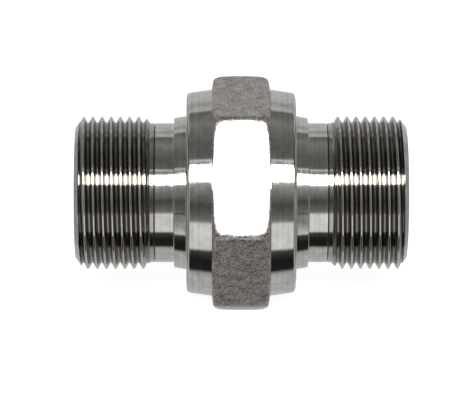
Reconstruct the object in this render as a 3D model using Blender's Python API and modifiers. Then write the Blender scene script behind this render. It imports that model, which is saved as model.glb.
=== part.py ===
"""Hexagon pipe nipple with a parallel pipe thread on both ends, in one piece.

The piece is forged with a hexagon in the middle and turned on both sides of it:
collar, shoulder, neck and thread.  Lengths are in metres.  The bore runs along X,
one flat of the hexagon faces up and one faces down, and the origin is at the
middle of the piece, on the bore's axis.
"""
import math

import bmesh
import bpy
from mathutils import Matrix

MM = 0.001

# Parallel pipe thread, size 7/8 with 14 turns an inch, right-hand on both ends
THREAD_MAJOR_DIAMETER = 30.20 * MM
THREAD_PITCH = 1.814 * MM
THREAD_LENGTH = 14.75 * MM
LEAD_CHAMFER = 1.55 * MM
LEAD_CHAMFER_ANGLE = math.radians(54.0)
RUN_OUT_LENGTH = 1.0 * MM

# Where a crest passes the top of the piece, from the neck's end outwards
RIGHT_CREST_START = 1.36 * MM
LEFT_CREST_START = 0.38 * MM

# Neck between the thread and the shoulder, turned just below the thread's root
NECK_LENGTH = 4.73 * MM
NECK_BELOW_ROOT = 0.19 * MM

# Shoulder, a short cone that stands out of the neck
SHOULDER_LENGTH = 2.43 * MM
SHOULDER_HEIGHT = 1.03 * MM
SHOULDER_TAPER = math.radians(10.0)

# Collar, a wide cone against the hexagon, just inside its flats
COLLAR_LENGTH = 5.0 * MM
COLLAR_INSIDE_FLAT = 0.02 * MM
COLLAR_TAPER = math.radians(8.4)
COLLAR_EDGE_RADIUS = 0.8 * MM

# Forged hexagon
HEX_ACROSS_FLATS = 40.9 * MM
HEX_WIDTH = 11.48 * MM
HEX_CORNER_RADIUS = 1.6 * MM
HEX_END_DRAFT = math.radians(7.5)
HEX_END_RADIUS = 0.6 * MM
HEX_CROWN_DROP = 0.26 * MM

# Bore, with a cone seat in each mouth
BORE_DIAMETER = 19.0 * MM
SEAT_MOUTH_DIAMETER = 24.0 * MM
SEAT_CONE_ANGLE = math.radians(60.0)

# Fineness of the round surfaces
TURN_STEPS = 48
CORNER_SEGMENTS = 5
ARC_SEGMENTS = 4

# How far a cutting tool stands past the metal that it cuts
TOOL_CLEARANCE = 0.5 * MM

# Points of two cuts that lie closer than this are one point
SAME_POINT = 0.002 * MM

# Thread form: a V of 55 degrees, with a sixth of its height cut off crest and root
THREAD_HALF_ANGLE = math.radians(27.5)
CREST_FLAT = THREAD_PITCH / 6.0
ROOT_FLAT = THREAD_PITCH / 6.0
THREAD_DEPTH = (THREAD_PITCH - CREST_FLAT - ROOT_FLAT) / 2.0 / math.tan(THREAD_HALF_ANGLE)

# Radii that follow from the sizes above
CREST_RADIUS = THREAD_MAJOR_DIAMETER / 2.0
ROOT_RADIUS = CREST_RADIUS - THREAD_DEPTH
END_FACE_RADIUS = CREST_RADIUS - LEAD_CHAMFER * math.tan(LEAD_CHAMFER_ANGLE)
NECK_RADIUS = ROOT_RADIUS - NECK_BELOW_ROOT
SHOULDER_RADIUS = NECK_RADIUS + SHOULDER_HEIGHT
SHOULDER_FOOT_RADIUS = SHOULDER_RADIUS + SHOULDER_LENGTH * math.tan(SHOULDER_TAPER)
FLAT_RADIUS = HEX_ACROSS_FLATS / 2.0
COLLAR_FOOT_RADIUS = FLAT_RADIUS - COLLAR_INSIDE_FLAT
COLLAR_RADIUS = COLLAR_FOOT_RADIUS - COLLAR_LENGTH * math.tan(COLLAR_TAPER)

# Places along the bore's axis, from the middle outwards
HEX_END = HEX_WIDTH / 2.0
COLLAR_END = HEX_END + COLLAR_LENGTH
SHOULDER_END = COLLAR_END + SHOULDER_LENGTH
NECK_END = SHOULDER_END + NECK_LENGTH
PIECE_END = NECK_END + THREAD_LENGTH


def clear_scene():
    """Empty the scene before modelling."""
    for item in list(bpy.data.objects):
        bpy.data.objects.remove(item, do_unlink=True)


def new_collection(name):
    """A collection in the scene."""
    collection = bpy.data.collections.new(name)
    bpy.context.scene.collection.children.link(collection)
    return collection


def new_object(name, mesh, collection):
    """An object for a mesh."""
    item = bpy.data.objects.new(name, mesh)
    collection.objects.link(item)
    return item


def mark_as_cutter(item):
    """Show a cutting form as a wire, and leave it out of renders."""
    item.display_type = "WIRE"
    item.hide_render = True


def arc(centre, radius, start, end, segments):
    """Points (along, out) on an arc; angles are measured from outwards, towards +X."""
    angles = [start + (end - start) * i / segments for i in range(segments + 1)]
    return [
        (centre[0] + radius * math.sin(angle), centre[1] + radius * math.cos(angle))
        for angle in angles
    ]


def both_ways(half):
    """A profile from the left end to the right, from its half at x >= 0."""
    left = [(-along, out) for along, out in reversed(half)]
    return left + half


def turned(name, profile, collection):
    """A solid turned about X from (along, out) points that start and end on the axis."""
    mesh = bpy.data.meshes.new(name)
    points = [(out, 0.0, along) for along, out in reversed(profile)]
    edges = [(i, i + 1) for i in range(len(points) - 1)]
    mesh.from_pydata(points, edges, [])
    item = new_object(name, mesh, collection)
    item.rotation_euler = (0.0, math.pi / 2.0, 0.0)
    screw = item.modifiers.new("Turn", "SCREW")
    screw.axis = "Z"
    screw.steps = TURN_STEPS
    screw.render_steps = TURN_STEPS
    screw.use_merge_vertices = True
    screw.merge_threshold = SAME_POINT
    return item


def boolean(item, operation, other):
    """Add a live boolean with another object."""
    modifier = item.modifiers.new(other.name, "BOOLEAN")
    modifier.operation = operation
    modifier.object = other
    modifier.solver = "EXACT"


def collar_edge():
    """The rounded edge between the collar's cone and its outer face."""
    radius = COLLAR_EDGE_RADIUS
    centre_along = COLLAR_END - radius
    slope = COLLAR_RADIUS + radius * math.tan(COLLAR_TAPER)
    centre_out = slope - radius / math.cos(COLLAR_TAPER)
    return arc((centre_along, centre_out), radius, COLLAR_TAPER, math.pi / 2.0, ARC_SEGMENTS)


def turned_blank(collection):
    """Everything turned, before the thread is cut and the bore is drilled."""
    half = [(HEX_END - TOOL_CLEARANCE, COLLAR_FOOT_RADIUS), (HEX_END, COLLAR_FOOT_RADIUS)]
    half += collar_edge()
    half += [
        (COLLAR_END, SHOULDER_FOOT_RADIUS),
        (SHOULDER_END, SHOULDER_RADIUS),
        (SHOULDER_END, NECK_RADIUS),
        (NECK_END, NECK_RADIUS),
        (NECK_END + RUN_OUT_LENGTH, CREST_RADIUS),
        (PIECE_END - LEAD_CHAMFER, CREST_RADIUS),
        (PIECE_END, END_FACE_RADIUS),
        (PIECE_END, 0.0),
    ]
    return turned("nipple_body", both_ways(half), collection)


def hexagon_limit(collection):
    """The turned form that rounds the hexagon's corners and drafts its end faces."""
    sharp_corner = FLAT_RADIUS / math.cos(math.pi / 6.0)
    corner = sharp_corner - HEX_CORNER_RADIUS * (1.0 / math.cos(math.pi / 6.0) - 1.0)
    round_radius = HEX_END_RADIUS
    end_out = corner - HEX_CROWN_DROP
    centre_out = end_out - round_radius
    face_tilt = math.pi / 2.0 - HEX_END_DRAFT
    touch_out = centre_out + round_radius * math.cos(face_tilt)
    touch_along = HEX_END - (touch_out - COLLAR_FOOT_RADIUS) * math.tan(HEX_END_DRAFT)
    centre_along = touch_along - round_radius * math.sin(face_tilt)
    crown_radius = (centre_along ** 2 + HEX_CROWN_DROP ** 2) / (2.0 * HEX_CROWN_DROP)
    crown_angle = math.asin(centre_along / crown_radius)
    crown_centre = (0.0, corner - crown_radius)
    half = arc(crown_centre, crown_radius, 0.0, crown_angle, ARC_SEGMENTS)[1:]
    half += arc((centre_along, centre_out), round_radius, crown_angle, face_tilt, ARC_SEGMENTS)[1:]
    half += [(HEX_END, COLLAR_FOOT_RADIUS), (HEX_END, 0.0)]
    item = turned("hexagon_limit", both_ways(half), collection)
    mark_as_cutter(item)
    return item


def hexagon(limit, collection):
    """A hexagon bar with rounded corners, kept inside its turned limit."""
    mesh = bpy.data.meshes.new("hexagon")
    form = bmesh.new()
    sharp_corner = FLAT_RADIUS / math.cos(math.pi / 6.0)
    bmesh.ops.create_cone(
        form,
        cap_ends=True,
        segments=6,
        radius1=sharp_corner,
        radius2=sharp_corner,
        depth=HEX_WIDTH + 2.0 * TOOL_CLEARANCE,
        matrix=Matrix.Rotation(math.pi / 2.0, 4, "Y"),
    )
    weights = form.edges.layers.float.new("bevel_weight_edge")
    for edge in form.edges:
        along = edge.verts[1].co.x - edge.verts[0].co.x
        if abs(along) > HEX_WIDTH:
            edge[weights] = 1.0
    form.to_mesh(mesh)
    form.free()
    item = new_object("hexagon", mesh, collection)
    bevel = item.modifiers.new("Corner radius", "BEVEL")
    bevel.limit_method = "WEIGHT"
    bevel.offset_type = "OFFSET"
    bevel.width = HEX_CORNER_RADIUS * math.tan(math.pi / 6.0)
    bevel.segments = CORNER_SEGMENTS
    boolean(item, "INTERSECT", limit)
    mark_as_cutter(item)
    return item


def thread_groove_mesh(name, crest_start):
    """The groove's section, spun along a right-hand helix from the neck past the end."""
    half_root = ROOT_FLAT / 2.0
    half_crest = (THREAD_PITCH - CREST_FLAT) / 2.0
    outside = CREST_RADIUS + TOOL_CLEARANCE
    section = [
        (-half_crest, outside),
        (-half_crest, CREST_RADIUS),
        (-half_root, ROOT_RADIUS),
        (half_root, ROOT_RADIUS),
        (half_crest, CREST_RADIUS),
        (half_crest, outside),
    ]
    first = NECK_END + crest_start - 1.5 * THREAD_PITCH
    travel = PIECE_END + THREAD_PITCH - first
    steps = math.ceil(travel / THREAD_PITCH * TURN_STEPS)
    form = bmesh.new()
    corners = [form.verts.new((first + along, 0.0, out)) for along, out in section]
    face = form.faces.new(corners)
    bmesh.ops.spin(
        form,
        geom=[face],
        cent=(0.0, 0.0, 0.0),
        axis=(1.0, 0.0, 0.0),
        dvec=(THREAD_PITCH / TURN_STEPS, 0.0, 0.0),
        angle=math.tau * steps / TURN_STEPS,
        steps=steps,
        use_duplicate=False,
    )
    bmesh.ops.recalc_face_normals(form, faces=form.faces)
    mesh = bpy.data.meshes.new(name)
    form.to_mesh(mesh)
    form.free()
    return mesh


def thread_groove(name, crest_start, turn, collection):
    """The groove of one end; a half turn about Z puts it on the left end."""
    item = new_object(name, thread_groove_mesh(name, crest_start), collection)
    item.rotation_euler = (0.0, 0.0, turn)
    mark_as_cutter(item)
    return item


def bore_cutter(collection):
    """The through bore with a cone seat in each mouth."""
    bore = BORE_DIAMETER / 2.0
    mouth = SEAT_MOUTH_DIAMETER / 2.0
    slope = math.tan(SEAT_CONE_ANGLE / 2.0)
    seat_depth = (mouth - bore) / slope
    outside = mouth + TOOL_CLEARANCE * slope
    half = [
        (PIECE_END - seat_depth, bore),
        (PIECE_END + TOOL_CLEARANCE, outside),
        (PIECE_END + TOOL_CLEARANCE, 0.0),
    ]
    item = turned("bore_cutter", both_ways(half), collection)
    mark_as_cutter(item)
    return item


def stainless_steel():
    """Bare stainless steel, between a turned and a forged finish."""
    material = bpy.data.materials.new("stainless_steel")
    material.use_nodes = True
    shader = material.node_tree.nodes["Principled BSDF"]
    shader.inputs["Base Color"].default_value = (0.56, 0.55, 0.53, 1.0)
    shader.inputs["Metallic"].default_value = 1.0
    shader.inputs["Roughness"].default_value = 0.3
    return material


def main():
    clear_scene()
    parts = new_collection("pipe_nipple")
    cutters = new_collection("cutters")
    body = turned_blank(parts)
    boolean(body, "UNION", hexagon(hexagon_limit(cutters), cutters))
    right = thread_groove("thread_groove_right", RIGHT_CREST_START, 0.0, cutters)
    left = thread_groove("thread_groove_left", LEFT_CREST_START, math.pi, cutters)
    boolean(body, "DIFFERENCE", right)
    boolean(body, "DIFFERENCE", left)
    boolean(body, "DIFFERENCE", bore_cutter(cutters))
    weld = body.modifiers.new("Weld", "WELD")
    weld.merge_threshold = SAME_POINT
    body.data.materials.append(stainless_steel())


main()
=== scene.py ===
"""The nipple's finished surface, its steel finishes, and the studio that it stands in."""
import math

import bmesh
import bpy
import numpy as np
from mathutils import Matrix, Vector


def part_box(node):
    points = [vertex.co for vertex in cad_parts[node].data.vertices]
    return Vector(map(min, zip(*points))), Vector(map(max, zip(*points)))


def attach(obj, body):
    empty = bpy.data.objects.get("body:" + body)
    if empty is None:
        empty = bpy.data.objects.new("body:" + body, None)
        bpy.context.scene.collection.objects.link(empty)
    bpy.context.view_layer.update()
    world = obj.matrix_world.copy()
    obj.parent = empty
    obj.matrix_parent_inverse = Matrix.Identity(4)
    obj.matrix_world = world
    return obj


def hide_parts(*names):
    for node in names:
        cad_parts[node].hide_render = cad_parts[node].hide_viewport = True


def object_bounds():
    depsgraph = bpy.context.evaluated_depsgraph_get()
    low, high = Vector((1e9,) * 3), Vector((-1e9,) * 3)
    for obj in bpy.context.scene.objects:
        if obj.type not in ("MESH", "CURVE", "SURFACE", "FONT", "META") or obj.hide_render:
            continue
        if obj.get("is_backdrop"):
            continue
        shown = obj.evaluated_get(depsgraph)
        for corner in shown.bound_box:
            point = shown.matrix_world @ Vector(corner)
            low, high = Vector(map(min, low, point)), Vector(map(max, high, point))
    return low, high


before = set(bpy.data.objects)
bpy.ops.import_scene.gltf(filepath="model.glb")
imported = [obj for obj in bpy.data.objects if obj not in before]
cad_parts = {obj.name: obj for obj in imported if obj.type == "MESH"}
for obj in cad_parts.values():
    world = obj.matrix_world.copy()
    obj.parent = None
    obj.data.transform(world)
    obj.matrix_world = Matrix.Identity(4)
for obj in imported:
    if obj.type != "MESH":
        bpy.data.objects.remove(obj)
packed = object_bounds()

NODE = "nipple_body"
BODY = "root"

MM = 0.001
DEG = math.pi / 180.0

# The hexagon's sixth of a turn, from corner to corner, and its half
SECTOR = 60.0 * DEG
HALF_SECTOR = 30.0 * DEG

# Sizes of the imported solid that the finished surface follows
CREST_RADIUS = 15.10 * MM
PITCH = 1.814 * MM
CREST_FLAT = PITCH / 6.0
ROOT_FLAT = PITCH / 6.0
THREAD_HALF_ANGLE = 27.5 * DEG
LEAD_CHAMFER = 1.55 * MM
LEAD_CHAMFER_ANGLE = 54.0 * DEG
RUN_OUT_LENGTH = 1.0 * MM
THREAD_LENGTH = 14.75 * MM
RIGHT_CREST_START = 1.36 * MM
LEFT_CREST_START = 0.38 * MM
NECK_LENGTH = 4.73 * MM
NECK_BELOW_ROOT = 0.19 * MM
SHOULDER_LENGTH = 2.43 * MM
SHOULDER_HEIGHT = 1.03 * MM
SHOULDER_TAPER = 10.0 * DEG
COLLAR_LENGTH = 5.0 * MM
COLLAR_TAPER = 8.4 * DEG
COLLAR_INSIDE_FLAT = 0.02 * MM
HEX_WIDTH = 11.48 * MM
FLAT_RADIUS = 20.45 * MM
HEX_CORNER_REACH = 23.37 * MM
HEX_END_DRAFT = 7.5 * DEG
HEX_CROWN_DROP = 0.26 * MM
BORE_RADIUS = 9.5 * MM
MOUTH_RADIUS = 12.0 * MM
SEAT_SLOPE = 30.0 * DEG

# Radii and places that follow
THREAD_DEPTH = (PITCH - CREST_FLAT - ROOT_FLAT) / 2.0 / math.tan(THREAD_HALF_ANGLE)
ROOT_RADIUS = CREST_RADIUS - THREAD_DEPTH
NECK_RADIUS = ROOT_RADIUS - NECK_BELOW_ROOT
END_FACE_RADIUS = CREST_RADIUS - LEAD_CHAMFER * math.tan(LEAD_CHAMFER_ANGLE)
SHOULDER_RADIUS = NECK_RADIUS + SHOULDER_HEIGHT
SHOULDER_FOOT_RADIUS = SHOULDER_RADIUS + SHOULDER_LENGTH * math.tan(SHOULDER_TAPER)
COLLAR_FOOT_RADIUS = FLAT_RADIUS - COLLAR_INSIDE_FLAT
COLLAR_RADIUS = COLLAR_FOOT_RADIUS - COLLAR_LENGTH * math.tan(COLLAR_TAPER)
HEX_END = HEX_WIDTH / 2.0
COLLAR_END = HEX_END + COLLAR_LENGTH
SHOULDER_END = COLLAR_END + SHOULDER_LENGTH
NECK_END = SHOULDER_END + NECK_LENGTH
PIECE_END = NECK_END + THREAD_LENGTH
SEAT_DEPTH = (MOUTH_RADIUS - BORE_RADIUS) / math.tan(SEAT_SLOPE)

# Edge breaks and small radii, as the tools leave them
COLLAR_EDGE = 0.8 * MM
SHARP_EDGE = 0.10 * MM
STRAIGHT_MARGIN = 0.04 * MM
INNER_CORNER = 0.12 * MM
SEAT_CORNER = 0.4 * MM
THREAD_CREST_BREAK = 0.20 * MM
THREAD_ROOT_BREAK = 0.12 * MM
THREAD_CUT_BREAK = 0.06 * MM
FLAT_EDGE_BLEND = 0.5 * MM
CORNER_EDGE_BLEND = 2.0 * MM
CROWN_BLEND = 0.2 * MM
HEX_CORNER_RADIUS = 0.8 * MM

# The hexagon's two lowest corners are rounder. A corner counts as low where straight
# down is over LOW_FROM of its direction, and fully so LOW_RISE further
LOW_CORNER_RADIUS = 1.4 * MM
LOW_FROM, LOW_RISE = 0.3, 0.4

# Thread relief: where the threading tool ran out over the neck, from its mark outwards.
# Its colour turns a little darker just past the mark, and the mark's core is painted dark, as
# shade in its groove
RELIEF_START = NECK_END - 1.05 * MM
RELIEF_MARK = 0.3 * MM
RELIEF_RISE = 0.2 * RELIEF_MARK
RELIEF_DARKENING = 0.45
MARK_CORE = 0.3 * RELIEF_MARK

# How far below the crest the painted shade in the thread's grooves begins, and is full
SHADE_FROM_DEPTH = 0.06 * MM
SHADE_FULL_DEPTH = 0.15 * MM

# Where the thread's last groove begins, which its own chamfer leaves shallow, and how
# softly the painted shade deep in it turns dark
LAST_GROOVE = PIECE_END - 1.6 * MM
LAST_GROOVE_RISE = 0.1 * MM

# Radii between which the hexagon's low corners carry a painted highlight, how bright it
# gets, the height below which corners are low, and how softly that begins
HIGHLIGHT_START_RADIUS = 22.5 * MM
HIGHLIGHT_FULL_RADIUS = 23.1 * MM
HIGHLIGHT_MOST = 0.9
HIGHLIGHT_BELOW = -16.0 * MM
HIGHLIGHT_FADE = 1.0 * MM

# Fineness of the surface: columns and rings, and the points of each rounded corner
SECTOR_COLUMNS = 32
COLUMNS = 6 * SECTOR_COLUMNS
EVEN_SHARE = 0.25
HEX_RINGS = 76
ARC_POINTS = 4
CREST_ARC_POINTS = 3
ROOT_ARC_POINTS = 2

# Turns of the helix before the thread, the radius from which the hexagon's rays fan out,
# and the steps of bisection along each
LEAD_IN_TURNS = 2
FAN_CENTRE = 14.0 * MM
HALVINGS = 40

# How close points are welded, and the angle from which an edge is shaded sharp
WELD_DISTANCE = 0.0005 * MM
SHARP_ANGLE = 50.0 * DEG

# Slots of the piece's materials
TURNED, FORGED, BORED = range(3)

# A Mix node's sockets for colours: its factor and its two colours, and its result
MIX_FACTOR, MIX_FIRST, MIX_SECOND, MIX_COLOUR = 0, 6, 7, 2


def around():
    """Angles round the axis, from up towards the viewer, one full turn without its end.

    In each sixth, t runs from -1 to 1 and the angle is 30 degrees times
    E t + (1 - E) sin(t pi / 2), with E the even share, which crowds the columns at the
    hexagon's corners.
    """
    t = np.linspace(-1.0, 1.0, SECTOR_COLUMNS, endpoint=False)
    turn = HALF_SECTOR * (EVEN_SHARE * t + (1.0 - EVEN_SHARE) * np.sin(t * math.pi / 2.0))
    return (np.arange(6)[:, None] * SECTOR + turn[None, :]).ravel()


AROUND = around()


def on_axis(along, out, angle):
    """Points at a distance out from the axis: (along, -out sin angle, out cos angle)."""
    along, out, angle = np.broadcast_arrays(along, out, angle)
    return np.stack([along, -out * np.sin(angle), out * np.cos(angle)], axis=-1)


def softened(corners, segments=ARC_POINTS, margin=0.0):
    """A profile whose corners are rounded.

    Each corner is (along, out, radius), and the first and last stay sharp. A corner of
    radius R is cut R / tan(half its angle) before and after its point, and a quadratic
    curve joins the two cuts. A margin adds a point that far before and after each
    curve, to keep the straight parts straight in the shading too.
    """
    table = np.array(corners)
    points, radius = table[:, :2], table[1:-1, 2]
    middle = points[1:-1]
    back = points[:-2] - middle
    ahead = points[2:] - middle
    back /= np.linalg.norm(back, axis=1)[:, None]
    ahead /= np.linalg.norm(ahead, axis=1)[:, None]
    half = np.arccos(np.clip((back * ahead).sum(axis=1), -1.0, 1.0)) / 2.0
    reach = (radius / np.tan(half))[:, None]
    t = np.linspace(0.0, 1.0, segments + 1)[None, :, None]
    start = (middle + back * reach)[:, None, :]
    stop = (middle + ahead * reach)[:, None, :]
    curve = (1.0 - t) ** 2 * start + 2.0 * t * (1.0 - t) * middle[:, None, :] + t ** 2 * stop
    if margin:
        before, after = start + back[:, None, :] * margin, stop + ahead[:, None, :] * margin
        curve = np.concatenate([before, curve, after], axis=1)
    return np.vstack([points[:1], curve.reshape(-1, 2), points[-1:]])


def smooth_max(a, b, width):
    """The larger of a and b, with max(width - |a - b|, 0) squared / (4 width) added."""
    return np.maximum(a, b) + np.maximum(width - np.abs(a - b), 0.0) ** 2 / (4.0 * width)


def smooth_min(a, b, width):
    """The smaller of a and b, rounded as smooth_max rounds the larger."""
    return -smooth_max(-a, -b, width)


def ring_faces(rings):
    """Quads of a closed grid of rings, whose first index runs along the profile."""
    ring, column = np.meshgrid(np.arange(rings - 1), np.arange(COLUMNS), indexing="ij")
    after = (column + 1) % COLUMNS
    near, far = ring * COLUMNS, (ring + 1) * COLUMNS
    quads = np.stack([near + column, far + column, far + after, near + after], axis=-1)
    return quads.reshape(-1, 4)


def turned_surface(profile):
    """A profile carried round the axis: every (along, out) at every angle of AROUND."""
    points = on_axis(profile[:, 0, None], profile[:, 1, None], AROUND[None, :])
    return points.reshape(-1, 3), ring_faces(len(profile))


def thread_limit(along):
    """The turned blank's radius at a place: neck, run-out, crest and lead chamfer."""
    places = [NECK_END, NECK_END + RUN_OUT_LENGTH, PIECE_END - LEAD_CHAMFER, PIECE_END]
    return np.interp(along, places, [NECK_RADIUS, CREST_RADIUS, CREST_RADIUS, END_FACE_RADIUS])


def thread_section():
    """One pitch of the thread, from the middle of a crest to the next, without its end."""
    crest = (CREST_FLAT / 2.0, CREST_RADIUS)
    root = ((PITCH - ROOT_FLAT) / 2.0, ROOT_RADIUS)
    flank = ((crest[0] + root[0]) / 2.0, (crest[1] + root[1]) / 2.0, 0.0)
    top = [(0.0, CREST_RADIUS, 0.0), (*crest, THREAD_CREST_BREAK), flank]
    foot = [flank, (*root, THREAD_ROOT_BREAK), (PITCH / 2.0, ROOT_RADIUS, 0.0)]
    half = np.vstack([softened(top, CREST_ARC_POINTS), softened(foot, ROOT_ARC_POINTS)[1:]])
    mirrored = half[::-1] * (-1.0, 1.0) + (PITCH, 0.0)
    return np.vstack([half, mirrored[1:-1]])


def thread_surface(crest_start):
    """The section carried along a right-hand helix: along grows by a pitch each turn.

    The radius is the smaller of the section's and the blank's. The helix starts some
    turns before the thread does. Points past either end of the thread lie on its end
    ring, where welding closes them up.
    """
    section = thread_section()
    first, last = NECK_END - SHARP_EDGE, PIECE_END - SHARP_EDGE
    turns = math.ceil((last - first) / PITCH) + LEAD_IN_TURNS
    column = np.arange((turns + 1) * COLUMNS + 1)
    angle = (AROUND[column % COLUMNS] + math.tau * (column // COLUMNS))[:, None]
    start = NECK_END + crest_start - LEAD_IN_TURNS * PITCH
    along = start + PITCH * angle / math.tau + section[None, :, 0]
    along = np.clip(along, first, last)
    out = smooth_min(section[None, :, 1], thread_limit(along), THREAD_CUT_BREAK)
    count = len(section)
    left, low = np.meshgrid(np.arange(turns * COLUMNS), np.arange(count), indexing="ij")
    wrapped = low + 1 == count
    high = np.where(wrapped, 0, low + 1)
    shift = np.where(wrapped, COLUMNS, 0)
    quads = np.stack(
        [
            left * count + low,
            (left + shift) * count + high,
            (left + shift + 1) * count + high,
            (left + 1) * count + low,
        ],
        axis=-1,
    )
    return on_axis(along, out, angle).reshape(-1, 3), quads.reshape(-1, 4)


def hexagon_depth(along, out, angle):
    """How far a point lies outside the forged hexagon; below zero it is inside.

    Bar: a hexagon with round corners, measured from the nearest of its flats or
    corner centres; the two lowest corners are rounder than the rest. Crown: the
    corners' limit, a parabola along the axis. Ends: cones that lean in by the draft.
    Smooth maxima join the three, and the one at the ends widens with the cube of the
    way from flat to corner.
    """
    turn = np.mod(angle + HALF_SECTOR, SECTOR) - HALF_SECTOR
    low = np.clip((-np.cos(angle) - LOW_FROM) / LOW_RISE, 0.0, 1.0)
    corner = HEX_CORNER_RADIUS + (LOW_CORNER_RADIUS - HEX_CORNER_RADIUS) * low
    inner = FLAT_RADIUS - corner
    across, beside = out * np.cos(turn), np.abs(out * np.sin(turn))
    past = np.maximum(beside - inner * math.tan(HALF_SECTOR), 0.0)
    bar = np.hypot(across - inner, past) * np.sign(across - inner) - corner
    crown = out - HEX_CORNER_REACH + HEX_CROWN_DROP * (along / HEX_END) ** 2
    end = (np.abs(along) - HEX_END) * math.cos(HEX_END_DRAFT)
    end = end + (out - COLLAR_FOOT_RADIUS) * math.sin(HEX_END_DRAFT)
    outside = smooth_max(bar, crown, CROWN_BLEND)
    near_corner = np.clip((out - FLAT_RADIUS) / (HEX_CORNER_REACH - FLAT_RADIUS), 0.0, 1.0)
    blend = FLAT_EDGE_BLEND + (CORNER_EDGE_BLEND - FLAT_EDGE_BLEND) * near_corner ** 3
    return smooth_max(outside, end, blend)


def hexagon_surface():
    """The forged hexagon between the collars.

    In each half-plane through the axis, rays fan out from a point inside the forging,
    and bisection finds where each leaves it. The first and last ray end on the
    collars' feet.
    """
    rise = COLLAR_FOOT_RADIUS - FAN_CENTRE
    widest = math.atan2(HEX_END, rise)
    fan = np.linspace(widest, -widest, HEX_RINGS)[:, None]
    angle = AROUND[None, :]
    short = np.zeros((HEX_RINGS, COLUMNS))
    long = np.full((HEX_RINGS, COLUMNS), FLAT_RADIUS)
    for _ in range(HALVINGS):
        middle = (short + long) / 2.0
        out = FAN_CENTRE + middle * np.cos(fan)
        depth = hexagon_depth(middle * np.sin(fan), out, angle)
        short = np.where(depth < 0.0, middle, short)
        long = np.where(depth < 0.0, long, middle)
    short[[0, -1]] = math.hypot(HEX_END, rise)
    points = on_axis(short * np.sin(fan), FAN_CENTRE + short * np.cos(fan), angle)
    return points.reshape(-1, 3), ring_faces(HEX_RINGS)[:, ::-1]


def half_surfaces(crest_start):
    """One end's surfaces, as (points, quads, material), placed as the right end's."""
    mark_edge = RELIEF_MARK / 8.0
    outer = softened(
        [
            (HEX_END, COLLAR_FOOT_RADIUS, 0.0),
            (COLLAR_END, COLLAR_RADIUS, COLLAR_EDGE),
            (COLLAR_END, SHOULDER_FOOT_RADIUS, INNER_CORNER),
            (SHOULDER_END, SHOULDER_RADIUS, SHARP_EDGE),
            (SHOULDER_END, NECK_RADIUS, INNER_CORNER),
            (RELIEF_START, NECK_RADIUS, mark_edge),
            (RELIEF_START + RELIEF_MARK / 2.0, NECK_RADIUS - RELIEF_MARK / 2.0, mark_edge),
            (RELIEF_START + RELIEF_MARK, NECK_RADIUS, mark_edge),
            (NECK_END - SHARP_EDGE, NECK_RADIUS, 0.0),
        ],
        margin=STRAIGHT_MARGIN,
    )
    lip = PIECE_END - SHARP_EDGE
    inner = softened(
        [
            (lip, float(thread_limit(lip)), 0.0),
            (PIECE_END, END_FACE_RADIUS, SHARP_EDGE),
            (PIECE_END, MOUTH_RADIUS, SHARP_EDGE),
            (PIECE_END - SEAT_DEPTH, BORE_RADIUS, SEAT_CORNER),
            (0.0, BORE_RADIUS, 0.0),
        ],
        margin=STRAIGHT_MARGIN,
    )
    return [
        (*turned_surface(outer), TURNED),
        (*thread_surface(crest_start), TURNED),
        (*turned_surface(inner), BORED),
    ]


def nipple_mesh():
    """All surfaces welded into one closed mesh; the left end is turned half round Z."""
    surfaces = half_surfaces(RIGHT_CREST_START)
    for points, quads, slot in half_surfaces(LEFT_CREST_START):
        surfaces.append((points * (-1.0, -1.0, 1.0), quads, slot))
    surfaces.append((*hexagon_surface(), FORGED))
    starts = np.cumsum([0] + [len(points) for points, _, _ in surfaces[:-1]])
    points = np.vstack([surface[0] for surface in surfaces])
    quads = np.vstack([surface[1] + start for surface, start in zip(surfaces, starts)])
    slots = np.concatenate([np.full(len(surface[1]), surface[2]) for surface in surfaces])
    mesh = bpy.data.meshes.new("nipple")
    mesh.from_pydata(points.tolist(), [], quads.tolist())
    mesh.polygons.foreach_set("material_index", slots.astype(np.int32))
    form = bmesh.new()
    form.from_mesh(mesh)
    bmesh.ops.remove_doubles(form, verts=form.verts, dist=WELD_DISTANCE)
    bmesh.ops.dissolve_degenerate(form, edges=form.edges, dist=WELD_DISTANCE)
    bmesh.ops.recalc_face_normals(form, faces=form.faces)
    form.to_mesh(mesh)
    form.free()
    mesh.shade_smooth()
    mesh.set_sharp_from_angle(angle=SHARP_ANGLE)
    split_materials(mesh)
    return mesh


def split_materials(mesh):
    """Mark every edge between two materials as sharp."""
    sizes = np.empty(len(mesh.polygons), np.int32)
    slots = np.empty(len(mesh.polygons), np.int32)
    edges = np.empty(len(mesh.loops), np.int32)
    sharp = np.empty(len(mesh.edges), bool)
    mesh.polygons.foreach_get("loop_total", sizes)
    mesh.polygons.foreach_get("material_index", slots)
    mesh.loops.foreach_get("edge_index", edges)
    mesh.edges.foreach_get("use_edge_sharp", sharp)
    corner_slots = np.repeat(slots, sizes)
    lowest = np.full(len(sharp), BORED + 1)
    highest = np.full(len(sharp), -1)
    np.minimum.at(lowest, edges, corner_slots)
    np.maximum.at(highest, edges, corner_slots)
    mesh.edges.foreach_set("use_edge_sharp", sharp | (lowest < highest))


class Term:
    """A shader socket that takes part in Python expressions."""

    def __init__(self, nodes, socket):
        self.nodes = nodes
        self.socket = socket

    def maths(self, operation, *operands):
        """A Math node in this socket's tree, with all its operands."""
        sockets = dict(enumerate(operands))
        return self.nodes.node("ShaderNodeMath", {"operation": operation}, sockets)

    def larger(self, other):
        """The larger of this value and another."""
        return self.maths("MAXIMUM", self, other)

    def __add__(self, other):
        return self.maths("ADD", self, other)

    def __radd__(self, other):
        return self.maths("ADD", other, self)

    def __sub__(self, other):
        return self.maths("SUBTRACT", self, other)

    def __rsub__(self, other):
        return self.maths("SUBTRACT", other, self)

    def __mul__(self, other):
        return self.maths("MULTIPLY", self, other)

    def __rmul__(self, other):
        return self.maths("MULTIPLY", other, self)

    def __pow__(self, other):
        return self.maths("POWER", self, other)

    def __abs__(self):
        return self.maths("ABSOLUTE", self)


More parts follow.
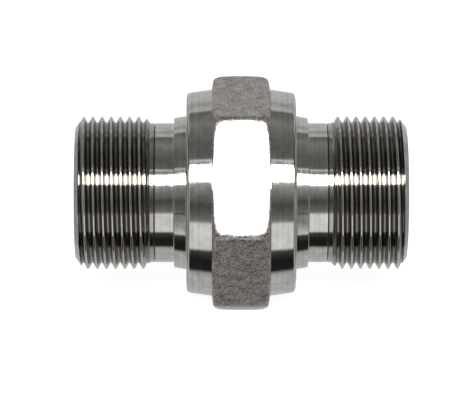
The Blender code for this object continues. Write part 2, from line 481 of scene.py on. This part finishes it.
class Nodes:
    """A node tree under construction."""

    def __init__(self, tree):
        self.tree = tree

    def node(self, kind, settings=None, sockets=None, output=0):
        """Add a node from its type, its settings and its sockets' values or links.

        The setting stops gives a colour ramp's pairs of place and grey level.
        """
        made = self.tree.nodes.new(kind)
        for name, value in (settings or {}).items():
            if name == "stops":
                ramp = made.color_ramp.elements
                while len(ramp) < len(value):
                    ramp.new(0.5)
                for element, (place, level) in zip(ramp, value):
                    element.position = place
                    element.color = (level, level, level, 1.0)
            else:
                setattr(made, name, value)
        for name, value in (sockets or {}).items():
            if isinstance(value, Term):
                self.tree.links.new(value.socket, made.inputs[name])
            else:
                made.inputs[name].default_value = value
        return Term(self, made.outputs[output])

    def backdrop_ray(self):
        """1 for rays that look straight, or through something clear, at the backdrop.

        Glossy rays aren't among them: see STUDIO_LEVELS.
        """
        direct = self.node("ShaderNodeLightPath", output="Is Camera Ray")
        through = self.node("ShaderNodeLightPath", output="Is Transmission Ray")
        return direct.larger(through)

    def parts(self, vector):
        """A vector's three components."""
        return [
            self.node("ShaderNodeSeparateXYZ", sockets={0: vector}, output=axis) for axis in "XYZ"
        ]

    def step(self, value, low, high, to_low=0.0, to_high=1.0):
        """A smooth step of a value between two levels."""
        sockets = {"Value": value, "From Min": low, "From Max": high}
        sockets.update({"To Min": to_low, "To Max": to_high})
        return self.node("ShaderNodeMapRange", {"interpolation_type": "SMOOTHSTEP"}, sockets)

    def window(self, value, low, high, soft):
        """1 between two levels of a value, fading to 0 over a soft width outside them."""
        rise = self.step(value, low - soft, low)
        return rise * self.step(value, high, high + soft, 1.0, 0.0)


class Steel(Nodes):
    """A steel material: its shader, its coordinates and the inputs that vary.

    Places are along the axis, out from it, and at a height over it.
    """

    def __init__(self, name):
        self.material = bpy.data.materials.new(name)
        self.material.use_nodes = True
        super().__init__(self.material.node_tree)
        self.shader = self.tree.nodes["Principled BSDF"]
        self.shader.inputs["Metallic"].default_value = 1.0
        self.place = self.node("ShaderNodeTexCoord", output="Object")
        self.along, y, self.height = self.parts(self.place)
        self.out = (y * y + self.height * self.height) ** 0.5

    def feed(self, name, value):
        """Link a value to one of the shader's inputs."""
        self.tree.links.new(value.socket, self.shader.inputs[name])

    def grain(self, scale, detail, rough):
        """Noise in space; scale is in grains a metre."""
        return self.node(
            "ShaderNodeTexNoise",
            {"noise_dimensions": "3D"},
            {"Vector": self.place, "Scale": scale, "Detail": detail, "Roughness": rough},
        )

    def rings(self, scale, detail):
        """Noise that changes only along the profile, as a turning tool leaves it."""
        return self.node(
            "ShaderNodeTexNoise",
            {"noise_dimensions": "1D"},
            {"W": self.along + self.out, "Scale": scale, "Detail": detail},
        )

    def mix(self, first, second, mask):
        """From the first colour, where the mask is 0, to the second, where it is 1."""
        first, second = (c if isinstance(c, Term) else (*c, 1.0) for c in (first, second))
        sockets = {MIX_FACTOR: mask, MIX_FIRST: first, MIX_SECOND: second}
        return self.node("ShaderNodeMix", {"data_type": "RGBA"}, sockets, output=MIX_COLOUR)

    def bump(self, height, depth, strength):
        """Relief from a height of 0 to 1, as deep as the depth at full strength."""
        sockets = {"Strength": strength, "Distance": depth, "Height": height}
        self.feed("Normal", self.node("ShaderNodeBump", sockets=sockets))


# Colours of the steels, with their darkest and lightest where they vary
TURNED_DARK, TURNED_LIGHT = (0.46, 0.448, 0.418), (0.66, 0.648, 0.615)
# The flank colour is painted shade: the darker colour of the thread's flanks and roots, down in
# its grooves
GROOVE_SHADE = (0.265, 0.253, 0.232)
# The deep groove colour is painted shade, near black, in the relief mark's core and deep in the
# thread's last groove
DEEP_SHADE = (0.10, 0.096, 0.09)
FORGED_DARK, FORGED_LIGHT = (0.09, 0.083, 0.073), (0.70, 0.66, 0.62)
# The corner colour is a painted highlight on the rounding of the hexagon's lowest corners
CORNER_HIGHLIGHT = (0.86, 0.84, 0.80)
BORED_DARK, BORED_LIGHT = (0.40, 0.39, 0.37), (0.64, 0.63, 0.61)

# Range of their noise that goes from dark to light or from glossy to dull, and how
# rough they are at its ends
NOISE_RANGE = (0.3, 0.7)
TURNED_CONTRAST, TURNED_ROUGHNESS = (0.32, 0.68), (0.05, 0.11)
FORGED_CONTRAST, FORGED_ROUGHNESS = (0.37, 0.64), (0.28, 0.42)
BORED_ROUGHNESS = (0.18, 0.34)


def turned_steel():
    """Bright turned steel: fine rings of tool marks in the surface, colour and gloss.

    The flanks and roots of the thread are painted darker than its crests and its lead
    chamfer, as shade down in its grooves. Past its mark the relief beside the thread is a
    little darker, and the mark and the thread's last groove are painted dark, as shade in
    their grooves.
    """
    steel = Steel("turned_steel")
    fine = steel.rings(scale=9000.0, detail=3.0)
    broad = steel.rings(scale=1400.0, detail=2.0)
    cloud = steel.grain(scale=620.0, detail=4.0, rough=0.5)
    mask = fine * 0.3 + broad * 0.25 + cloud * 0.45
    clean = steel.mix(TURNED_DARK, TURNED_LIGHT, steel.step(mask, *TURNED_CONTRAST))
    place = abs(steel.along)
    chamfer = (place - (PIECE_END - LEAD_CHAMFER)).larger(0.0)
    depth = CREST_RADIUS - chamfer * math.tan(LEAD_CHAMFER_ANGLE) - steel.out
    below = steel.step(depth, SHADE_FROM_DEPTH, SHADE_FULL_DEPTH)
    threaded = steel.step(place, NECK_END - SHARP_EDGE, NECK_END)
    # Just past the mark the relief's colour turns partway towards the groove shade colour
    dull = RELIEF_START + RELIEF_MARK
    relief = steel.step(place, dull, dull + RELIEF_RISE, 0.0, RELIEF_DARKENING)
    from_mark = abs(place - (RELIEF_START + RELIEF_MARK / 2.0))
    mark = steel.step(from_mark, MARK_CORE, RELIEF_MARK / 2.0, 1.0, 0.0)
    mouth = steel.step(place, LAST_GROOVE, LAST_GROOVE + LAST_GROOVE_RISE)
    # Painted shade: below the crest the thread's flanks and roots take the groove shade colour,
    # and the relief past its mark partly does
    inside = below * threaded.larger(relief)
    darkened = steel.mix(clean, GROOVE_SHADE, inside)
    # Painted shade: near black in the relief mark's core and deep in the last groove
    deep = mark.larger(mouth * inside)
    steel.feed("Base Color", steel.mix(darkened, DEEP_SHADE, deep))
    gloss = fine * 0.6 + cloud * 0.4
    steel.feed("Roughness", steel.step(gloss, *NOISE_RANGE, *TURNED_ROUGHNESS))
    steel.bump(fine * 0.6 + broad * 0.4, depth=0.003 * MM, strength=0.4)
    return steel.material


def forged_steel():
    """Forged and blasted steel: a fine matt grain with darker pits.

    Its two lowest corners carry a painted highlight: their rounding is coloured lighter.
    """
    steel = Steel("forged_steel")
    coarse = steel.grain(scale=2600.0, detail=3.0, rough=0.6)
    fine = steel.grain(scale=6500.0, detail=2.0, rough=0.6)
    patch = steel.grain(scale=600.0, detail=3.0, rough=0.6)
    mask = coarse * 0.42 + fine * 0.38 + patch * 0.2
    grey = steel.mix(FORGED_DARK, FORGED_LIGHT, steel.step(mask, *FORGED_CONTRAST))
    # Painted highlight: the rounding of the lowest corners is coloured lighter
    edge = steel.step(steel.out, HIGHLIGHT_START_RADIUS, HIGHLIGHT_FULL_RADIUS, 0.0, HIGHLIGHT_MOST)
    low = steel.step(steel.height, HIGHLIGHT_BELOW, HIGHLIGHT_BELOW + HIGHLIGHT_FADE, 1.0, 0.0)
    steel.feed("Base Color", steel.mix(grey, CORNER_HIGHLIGHT, edge * low))
    steel.feed("Roughness", steel.step(coarse, *NOISE_RANGE, *FORGED_ROUGHNESS))
    steel.bump(mask, depth=0.09 * MM, strength=0.9)
    return steel.material


def bored_steel():
    """Drilled steel inside, a little duller than the outside."""
    steel = Steel("bored_steel")
    fine = steel.rings(scale=6000.0, detail=3.0)
    cloud = steel.grain(scale=300.0, detail=3.0, rough=0.5)
    mask = fine * 0.6 + cloud * 0.4
    steel.feed("Base Color", steel.mix(BORED_DARK, BORED_LIGHT, steel.step(mask, *NOISE_RANGE)))
    steel.feed("Roughness", steel.step(mask, *NOISE_RANGE, *BORED_ROUGHNESS))
    steel.bump(fine, depth=0.006 * MM, strength=0.5)
    return steel.material


def nipple():
    """The one piece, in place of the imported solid."""
    piece = bpy.data.objects.new("nipple", nipple_mesh())
    bpy.context.scene.collection.objects.link(piece)
    for material in (turned_steel(), forged_steel(), bored_steel()):
        piece.data.materials.append(material)
    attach(piece, BODY)
    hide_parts(NODE)


# The photograph's frame and view; the camera stands a little left of the middle
IMAGE_WIDTH, IMAGE_HEIGHT = 467, 400
CENTRE_X, CENTRE_Y = 240.85, 192.6
PIXELS_A_METRE = 5.053 / MM
CAMERA_ELEVATION = 22.2 * DEG
CAMERA_ASIDE = 6.0 * MM
CAMERA_DISTANCE = 0.732
SENSOR_WIDTH = 36.0
CLIP_START, CLIP_END = 0.01, 20.0

# The studio: a softbox above and in front, and what else the steel mirrors
BOX_ANGLE = 47.5 * DEG
BOX_SPREAD = 15.0 * DEG
BOX_DISTANCE = 0.5
BOX_LENGTH = 0.6
BOX_RADIANCE = 11.0
FLOOR_SIZE = 6.0
FLOOR_GLOW = 0.9
FLOOR_COLOUR = 0.35

# Grey levels round the axis, as (degrees from straight up towards the viewer, level).
# The photographed steel mirrors such a studio of light and dark panels, not the white
# backdrop, so glossy rays see it too: against plain white all its bands would be lost.
STUDIO_LEVELS = (
    (-180, 0.62), (-112, 0.58), (-66, 0.64), (-58, 0.62), (-52, 0.42), (-40, 0.68), (-36, 0.17),
    (-18, 0.28), (8, 0.16), (29, 0.15), (31, 1.0), (33, 0.25), (56, 0.5), (60, 0.37), (82, 0.09),
    (97, 0.2), (101, 0.3), (104, 1.0), (135, 1.0), (138, 0.07), (150, 0.018), (167, 0.02),
    (172, 0.5), (180, 0.62),
)

# What slanted faces mirror, by the share of the direction that runs along the axis: a
# light zone (dimmer towards EDGE_DIM), a dark one, which isn't in the rear, and the
# light ends of the room
SIDE_START, SIDE_FULL = 0.38, 0.46
EDGE_END, EDGE_OVER, EDGE_LEVEL, EDGE_DIM_LEVEL = 0.6, 0.68, 0.55, 0.15
EDGE_DIM, EDGE_DIM_REACH = 15.0 * DEG, 34.0 * DEG
DARK_LEVEL = 0.05
END_START, END_FULL, END_LEVEL = 0.70, 0.82, 0.42
REAR_START, REAR_END, REAR_SOFT = -172.0 * DEG, -60.0 * DEG, 5.0 * DEG

# The softbox's bright middle, which is taller where only the collars mirror it
CARD_START, CARD_RISE, CARD_END = 41.0 * DEG, 4.0 * DEG, 53.5 * DEG
CARD_FROM, CARD_TO, CARD_LEVEL = 0.2, 0.31, 16.0
CARD_FROM_SOFT, CARD_TO_SOFT = 0.02, 0.01

# The light wall in front of the nipple, and how much is left of it towards its sides
WALL_START, WALL_END, WALL_LEFT = 100.0 * DEG, 137.0 * DEG, 0.32
WALL_SIDE_START, WALL_SIDE_FULL = 0.305, 0.32

# How softly both of these end round the axis
PANEL_SOFT = 1.0 * DEG


def camera():
    """A long lens at the photograph's angle, with its framing."""
    data = bpy.data.cameras.new("camera")
    data.sensor_width = SENSOR_WIDTH
    data.lens = SENSOR_WIDTH * CAMERA_DISTANCE * PIXELS_A_METRE / IMAGE_WIDTH
    data.shift_x = 0.5 - (CENTRE_X - CAMERA_ASIDE * PIXELS_A_METRE) / IMAGE_WIDTH
    data.shift_y = (CENTRE_Y - IMAGE_HEIGHT / 2.0) / IMAGE_WIDTH
    data.clip_start, data.clip_end = CLIP_START, CLIP_END
    item = bpy.data.objects.new("camera", data)
    bpy.context.scene.collection.objects.link(item)
    back = Vector((0.0, -math.cos(CAMERA_ELEVATION), math.sin(CAMERA_ELEVATION)))
    item.location = back * CAMERA_DISTANCE + Vector((-CAMERA_ASIDE, 0.0, 0.0))
    item.rotation_euler = (-back).to_track_quat("-Z", "Y").to_euler()
    bpy.context.scene.camera = item


def softbox():
    """A long soft light over the front, square to the nipple's axis."""
    data = bpy.data.lights.new("softbox", "AREA")
    data.shape = "RECTANGLE"
    data.size = BOX_LENGTH
    data.size_y = 2.0 * BOX_DISTANCE * math.tan(BOX_SPREAD / 2.0)
    data.energy = BOX_RADIANCE * math.pi * data.size * data.size_y
    item = bpy.data.objects.new("softbox", data)
    bpy.context.scene.collection.objects.link(item)
    towards = Vector((0.0, -math.sin(BOX_ANGLE), math.cos(BOX_ANGLE)))
    item.location = towards * BOX_DISTANCE
    item.rotation_euler = towards.to_track_quat("Z", "Y").to_euler()
    item.visible_camera = False


def studio_world():
    """White to the camera; to the steel, grey levels that change round the axis.

    The share is how much of a direction runs along the axis, seen from the camera's
    place. It moves what is mirrored from the levels through the light zone to the ends.
    """
    world = bpy.data.worlds.new("studio")
    bpy.context.scene.world = world
    world.use_nodes = True
    nodes = Nodes(world.node_tree)
    towards = nodes.node("ShaderNodeTexCoord", output="Generated")
    across, ahead, up = nodes.parts(towards)
    facing = ahead * -1.0
    turn = facing.maths("ARCTAN2", facing, up)
    stops = [(angle / 360.0 + 0.5, level) for angle, level in STUDIO_LEVELS]
    place = turn * (1.0 / math.tau) + 0.5
    level = nodes.node("ShaderNodeValToRGB", {"stops": stops}, {0: place})
    share = abs(across - CAMERA_ASIDE / CAMERA_DISTANCE)
    wall = nodes.window(turn, WALL_START, WALL_END, PANEL_SOFT)
    past_wall = wall * nodes.step(share, WALL_SIDE_START, WALL_SIDE_FULL)
    level = level * (1.0 - (1.0 - WALL_LEFT) * past_wall)
    from_dim = abs(turn - EDGE_DIM)
    edge = nodes.step(from_dim, EDGE_DIM_REACH / 2.0, EDGE_DIM_REACH, EDGE_DIM_LEVEL, EDGE_LEVEL)
    rear = nodes.window(turn, REAR_START, REAR_END, REAR_SOFT)
    end = nodes.step(share, END_START, END_FULL).larger(rear)
    end = end * (END_LEVEL - DARK_LEVEL) + DARK_LEVEL
    side = nodes.step(share, SIDE_START, SIDE_FULL)
    over = nodes.step(share, EDGE_END, EDGE_OVER)
    lit = (level * (1.0 - side) + edge * side) * (1.0 - over) + end * over
    card_start = CARD_START - CARD_RISE * nodes.step(share, CARD_FROM - CARD_FROM_SOFT, CARD_FROM)
    card = nodes.window(turn, card_start, CARD_END, PANEL_SOFT)
    card = card * nodes.step(share, CARD_TO, CARD_TO + CARD_TO_SOFT, CARD_LEVEL, 0.0)
    seen = nodes.backdrop_ray()
    strength = seen + (1.0 - seen) * (lit + card)
    background = world.node_tree.nodes["Background"]
    background.inputs["Color"].default_value = (1.0, 1.0, 1.0, 1.0)
    world.node_tree.links.new(strength.socket, background.inputs["Strength"])


def floor():
    """A white floor that keeps the nipple's shadow.

    The steel doesn't mirror it, because the studio's levels go on below the horizon.
    """
    half = FLOOR_SIZE / 2.0
    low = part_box(NODE)[0][2]
    mesh = bpy.data.meshes.new("floor")
    mesh.from_pydata(
        [(-half, -half, low), (half, -half, low), (half, half, low), (-half, half, low)],
        [],
        [(0, 1, 2, 3)],
    )
    item = bpy.data.objects.new("floor", mesh)
    bpy.context.scene.collection.objects.link(item)
    material = bpy.data.materials.new("floor")
    material.use_nodes = True
    shader = material.node_tree.nodes["Principled BSDF"]
    shader.inputs["Base Color"].default_value = (FLOOR_COLOUR, FLOOR_COLOUR, FLOOR_COLOUR, 1.0)
    shader.inputs["Roughness"].default_value = 1.0
    shader.inputs["Specular IOR Level"].default_value = 0.0
    shader.inputs["Emission Color"].default_value = (1.0, 1.0, 1.0, 1.0)
    nodes = Nodes(material.node_tree)
    seen = nodes.backdrop_ray()
    nodes.tree.links.new((seen * FLOOR_GLOW).socket, shader.inputs["Emission Strength"])
    mesh.materials.append(material)
    item.visible_glossy = False
    item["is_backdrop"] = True


def main():
    """Build the piece and its studio."""
    nipple()
    camera()
    softbox()
    studio_world()
    floor()
    bpy.context.scene.view_settings.view_transform = "Standard"
    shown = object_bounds()
    boxes = {"cad": packed, "visual": shown}
    boxes = {name: [list(corner) for corner in box] for name, box in boxes.items()}


main()
